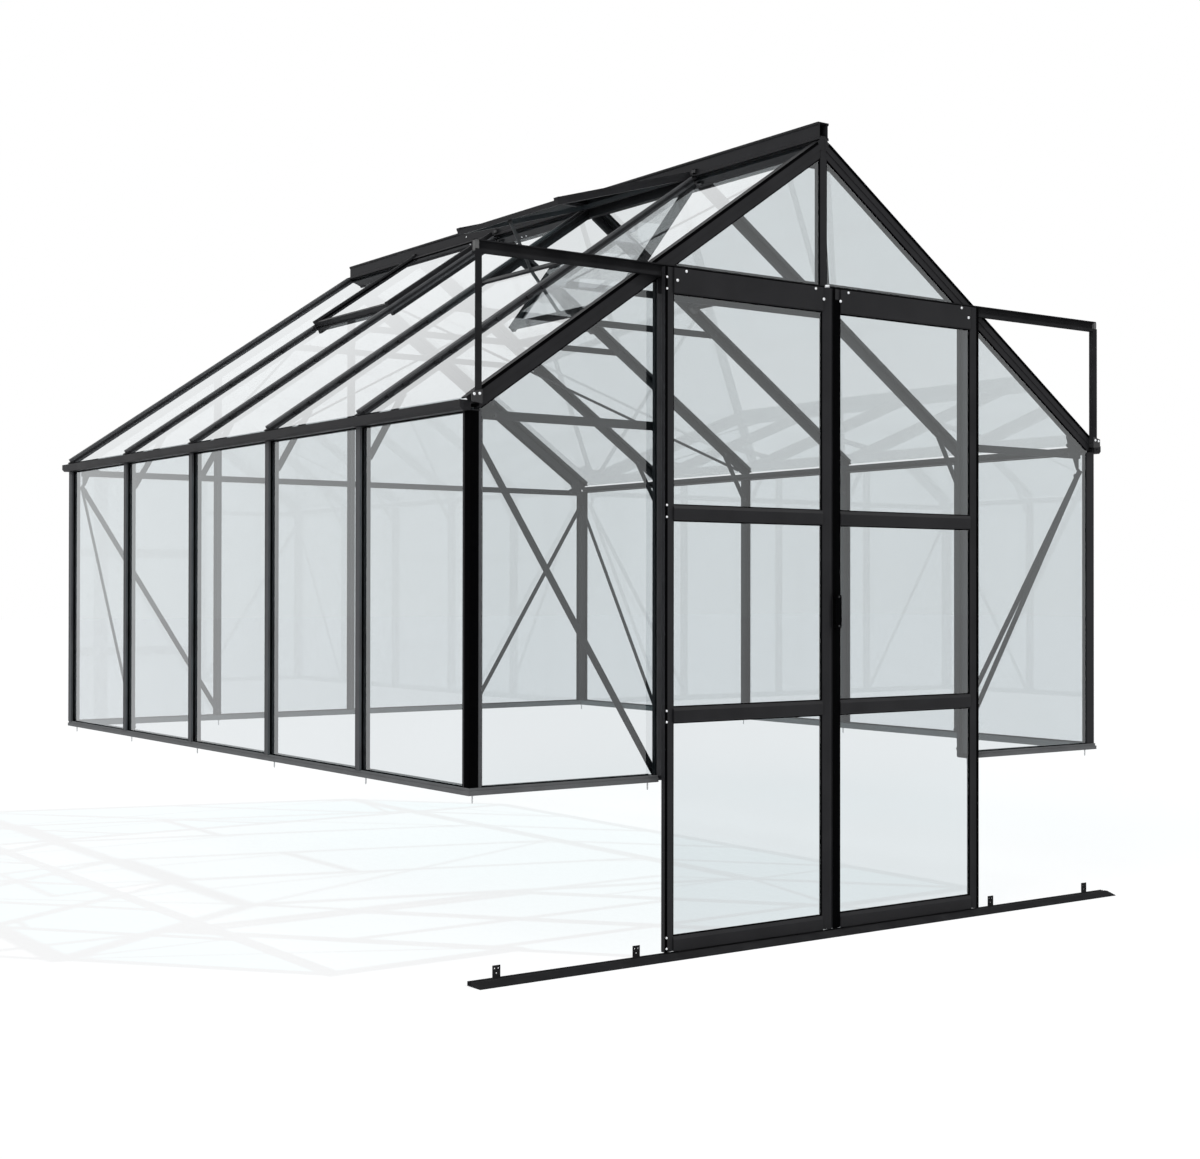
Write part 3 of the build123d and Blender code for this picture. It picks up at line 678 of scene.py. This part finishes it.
def make_rail_stops():
    """Stops in both ends of the rail and the small stop where the leaves meet."""
    bm = bmesh.new()
    for side in (-1, 1):
        low = (side * 1.254, front_y - 0.0165, 1.4535)
        high = (side * 1.2648, front_y - 0.0045, 1.4815)
        add_block(bm, low, high, trim=0.001)
    make_piece("rail_stops", bm, nylon)
    bm = bmesh.new()
    face = front_y - 0.022
    add_block(bm, (-0.006, face, 1.478), (0.006, front_y - 0.0115, 1.4865), trim=0.001)
    add_screw(bm, (0, face, 1.4823), (0, -1, 0), 0.0035)
    make_piece("meeting_stop", bm, screw_cap)


def make_ridge_fittings():
    """Screws along the ridge's sides and the blocks that stop the vents from sliding in their hinge."""
    screws = bmesh.new()
    stops = bmesh.new()
    face = 0.018
    for side in (-1, 1):
        for y in (-1.022, -1.3735, -1.4045, -1.7165, -1.8388):
            add_screw(screws, (side * face, y, 1.966), (side, 0, 0), 0.0032)
        for y in (-0.612, -1.254, -1.87, -2.494):
            low = (side * face, y - 0.009, 1.9445)
            high = (side * (face + 0.009), y + 0.009, 1.9565)
            add_block(stops, low, high, trim=0.0015)
    make_piece("ridge_screws", screws, screw_cap)
    make_piece("hinge_stops", stops, bolt_black)


def make_peak_covers():
    """Small plates that close the slot between the rakes under both ends of the ridge."""
    bm = bmesh.new()
    for y in (-0.0045, front_y + 0.0005):
        add_block(bm, (-0.0112, y, apex - 0.064), (0.0112, y + 0.004, apex + 0.003))
    make_piece("peak_covers", bm, paint)


# Roof bars and rakes
def make_roof_seals():
    """Seals beside the caps of the roof bars and rakes, up to the ridge or the vent."""
    bm = bmesh.new()
    lines = [front_y] + bars + [0]
    laps = [rake_cap] + [cap_half for _ in bars] + [rake_cap]
    for word, side in sides:
        for k in range(5):
            top = 0.938 if (word, k) in vent_angles else 1.505
            y0 = lines[k] + laps[k] + seal_wide / 2
            y1 = lines[k + 1] - laps[k + 1] - seal_wide / 2
            for y in (y0, y1):
                start = on_roof(side, y, 0.004, glass_inset)
                stop = on_roof(side, y, top, glass_inset)
                add_strip(bm, start, stop, roof_out(side), seal_wide, 0.0045)
    make_piece("roof_seals", bm, paint)


def make_bar_covers():
    """Raised covers on the roof bars, cut to half their width beside a vent, and on the rear rakes, in the
    lighter copy of the frame paint: painted light on their faces.
    """
    bm = bmesh.new()
    foot = -0.004
    split = 0.94
    top = 1.506
    rake_top = 1.526
    rise = 0.0085
    rake_rise = 0.0105
    gap = 0.001
    for word, side in sides:
        for k, y in enumerate(bars):
            place = roof_place(side, y)
            low = (side * foot, -cap_half, -cover_sink)
            add_block(bm, low, (side * split, cap_half, rise), place, 0.0014)
            y0, y1 = (gap, cap_half) if (word, k) in vent_angles else (-cap_half, -gap)
            low = (side * split, y0, -cover_sink)
            add_block(bm, low, (side * top, y1, rise), place, 0.0016)
        low = (side * foot, -rake_cap, -cover_sink)
        add_block(bm, low, (side * rake_top, 0, rake_rise), roof_place(side, 0), 0.0014)
    make_piece("bar_covers", bm, painted_light_paint)


def make_rake_edges():
    """Dark weather strips along the upper edges of the four rakes."""
    bm = bmesh.new()
    drop = 0.0045
    for side in (-1, 1):
        for y, out in ((front_y, -1), (0, 1)):
            start = on_roof(side, y, 0.002, drop)
            stop = on_roof(side, y, 1.51, drop)
            add_strip(bm, start, stop, (0, out, 0), 0.009, 0.0014)
    make_piece("rake_edges", bm, seal_and_shade_black)


def make_bar_lugs():
    """Small glazing clips in pairs along both edges of each roof bar, below the vents."""
    bm = bmesh.new()
    offset = 0.0195
    run = 0.022
    places = [first + 0.2 * k for k in range(4) for first in (0.095, 0.16)]
    for side in (-1, 1):
        down = (on_roof(side, 0, 0) - on_roof(side, 0, 1)).normalized()
        for y in bars:
            for s in places:
                for edge in (-1, 1):
                    start = on_roof(side, y + edge * offset, s, glass_inset)
                    add_strip(bm, start, start - down * run, roof_out(side), 0.008, 0.0065, 0.0006)
    make_piece("bar_lugs", bm, paint)


# Vents and their opener
def make_vent_fittings():
    """Seals, raised edges and screws of each vent, and the blocks at the ends of its slam bar."""
    seals = bmesh.new()
    screws = bmesh.new()
    blocks = bmesh.new()
    edges = bmesh.new()
    gap = 0.002
    rebate = 0.018
    edge_half = 0.009
    rise = 0.007
    face = vent_height / 2
    reach = bay / 2 - gap
    spots = [(gap + rebate, -reach + rebate), (vent_length - rebate, -reach + rebate)]
    spots += [(vent_length - rebate, reach - rebate), (gap + rebate, reach - rebate)]
    for (word, k), angle in vent_angles.items():
        side = dict(sides)[word]
        middle = front_y + bay * (k + 0.5)
        place = vent_place(side, angle, middle)
        out = place.to_3x3() @ Vector((0, 0, 1))
        add_frame(seals, [place @ Vector((u, v, 0.004)) for u, v in spots], out, 0.004, 0.002)
        for end in (-1, 1):
            v = end * (reach - edge_half)
            low = (gap, v - edge_half, face - cover_sink)
            high = (vent_length, v + edge_half, face + rise)
            add_block(edges, low, high, place, 0.0012)
            for u in (0.014, vent_length - 0.012):
                add_screw(screws, place @ Vector((u, v, face + rise)), out, 0.0036)
        shut = vent_place(side, 0, middle)
        for end in (-1, 1):
            low = (0.524, end * (bay / 2 - cap_half - 0.001), -0.034)
            high = (0.556, end * (bay / 2 - cap_half - 0.026), -0.0115)
            add_block(blocks, low, high, shut, 0.001)
    make_piece("vent_seals", seals, seal_and_shade_black)
    make_piece("vent_screws", screws, bolt_black)
    make_piece("vent_edges", edges, paint)
    make_piece("slam_ends", blocks, bolt_black)


def make_opener_fittings():
    """Collars on the opener's tube and the pivots of its stay."""
    bm = bmesh.new()
    y = front_y + 1.5 * bay
    shut = vent_place(-1, 0, y)
    opened = vent_place(-1, vent_open, y)
    slope = math.radians(43)
    down = Vector((math.cos(slope), 0, -math.sin(slope)))
    foot = shut @ Vector((0.5205, 0, -0.0227))
    ring = [(0.0112, 0), (0.0128, 0.0008), (0.0128, 0.0092), (0.0112, 0.01), (0.0108, 0.005), (0.0112, 0)]
    for run in (0.03, 0.105, 0.175):
        add_turned(bm, place_at(foot + down * run, down, (0, 1, 0)), ring, 24)
    for point in (shut @ Vector((0.541, 0, -0.022)), opened @ Vector((0.545, 0, -0.012))):
        for end in (-1, 1):
            add_bolt(bm, point + Vector((0, end * 0.002 + 0.0015, 0)), (0, end, 0), 0.0045)
    make_piece("opener_fittings", bm, bolt_black)


# Stage, world and lamps
def seen_ray(tree):
    """1 for rays that show the background: from the camera, off gloss or through glass."""
    path = add(tree, "ShaderNodeLightPath")
    value = path.outputs["Is Camera Ray"]
    for name in ("Is Glossy Ray", "Is Transmission Ray"):
        either = add(tree, "ShaderNodeMath", operation="MAXIMUM")
        tree.links.new(value, either.inputs[0])
        tree.links.new(path.outputs[name], either.inputs[1])
        value = either.outputs["Value"]
    return value


def floor_material():
    """Matt floor that glows white where it is seen, and a little less where a pane mirrors it."""
    material, tree = new_material("pale_floor")
    matt = add(tree, "ShaderNodeBsdfDiffuse")
    matt.inputs["Color"].default_value = (0.86, 0.87, 0.88, 1)
    tint = add(tree, "ShaderNodeMix", data_type="RGBA")
    tint.inputs["A"].default_value = (0.9, 0.878, 0.878, 1)
    tint.inputs["B"].default_value = (1, 1, 1, 1)
    path = add(tree, "ShaderNodeLightPath")
    tree.links.new(path.outputs["Is Camera Ray"], tint.inputs["Factor"])
    glow = add(tree, "ShaderNodeEmission")
    glow.inputs["Strength"].default_value = 1.1
    tree.links.new(tint.outputs["Result"], glow.inputs["Color"])
    seen = mix(tree, 0.34, glow.outputs["Emission"], matt.outputs["BSDF"])
    finish(tree, mix(tree, seen_ray(tree), matt.outputs["BSDF"], seen))
    return material


def make_stage():
    size = 60
    corners = [(-size, -size), (size, -size), (size, size), (-size, size)]
    mesh = bpy.data.meshes.new("floor")
    mesh.from_pydata([(x, y, floor_z) for x, y in corners], [], [(0, 1, 2, 3)])
    mesh.materials.append(floor_material())
    floor = bpy.data.objects.new("floor", mesh)
    scene.collection.objects.link(floor)


def make_world():
    """White where it is seen, and a softer light on everything else."""
    world = bpy.data.worlds.new("studio")
    scene.world = world
    world.use_nodes = True
    tree = world.node_tree
    tree.nodes.clear()
    soft = add(tree, "ShaderNodeBackground")
    soft.inputs["Color"].default_value = (0.97, 0.985, 1, 1)
    soft.inputs["Strength"].default_value = 0.42
    white = add(tree, "ShaderNodeBackground")
    white.inputs["Color"].default_value = (1, 1, 1, 1)
    white.inputs["Strength"].default_value = 1
    light = mix(tree, seen_ray(tree), soft.outputs["Background"], white.outputs["Background"])
    finish(tree, light, "ShaderNodeOutputWorld")


def make_lamp(name, direction, strength, angle):
    """A soft sun that shines along the given direction."""
    data = bpy.data.lights.new(name, "SUN")
    data.energy = strength
    data.angle = math.radians(angle)
    lamp = bpy.data.objects.new(name, data)
    lamp.rotation_mode = "QUATERNION"
    lamp.rotation_quaternion = Vector(direction).to_track_quat("-Z", "Y")
    scene.collection.objects.link(lamp)


for word, side in sides:
    make_leaf(word, side)
make_meeting_shade()
make_handle_screws()
make_wall_seals()
make_glass_beads()
make_corner_shade()
make_painted_light_flats()
make_post_covers()
make_frame_bolts()
make_anchor_pins()
make_gutter_ends()
make_rail_shoes()
make_rail_stops()
make_ridge_fittings()
make_peak_covers()
make_roof_seals()
make_bar_covers()
make_rake_edges()
make_bar_lugs()
make_vent_fittings()
make_opener_fittings()

dress_nodes()
make_camera()
make_stage()
make_world()
make_lamp("key", (-0.505, 0.6, -1.0), 1.3, 0.6)
make_lamp("side_fill", (1.0, 0.42, -0.5), 2.2, 40)
scene.view_settings.view_transform = "Standard"
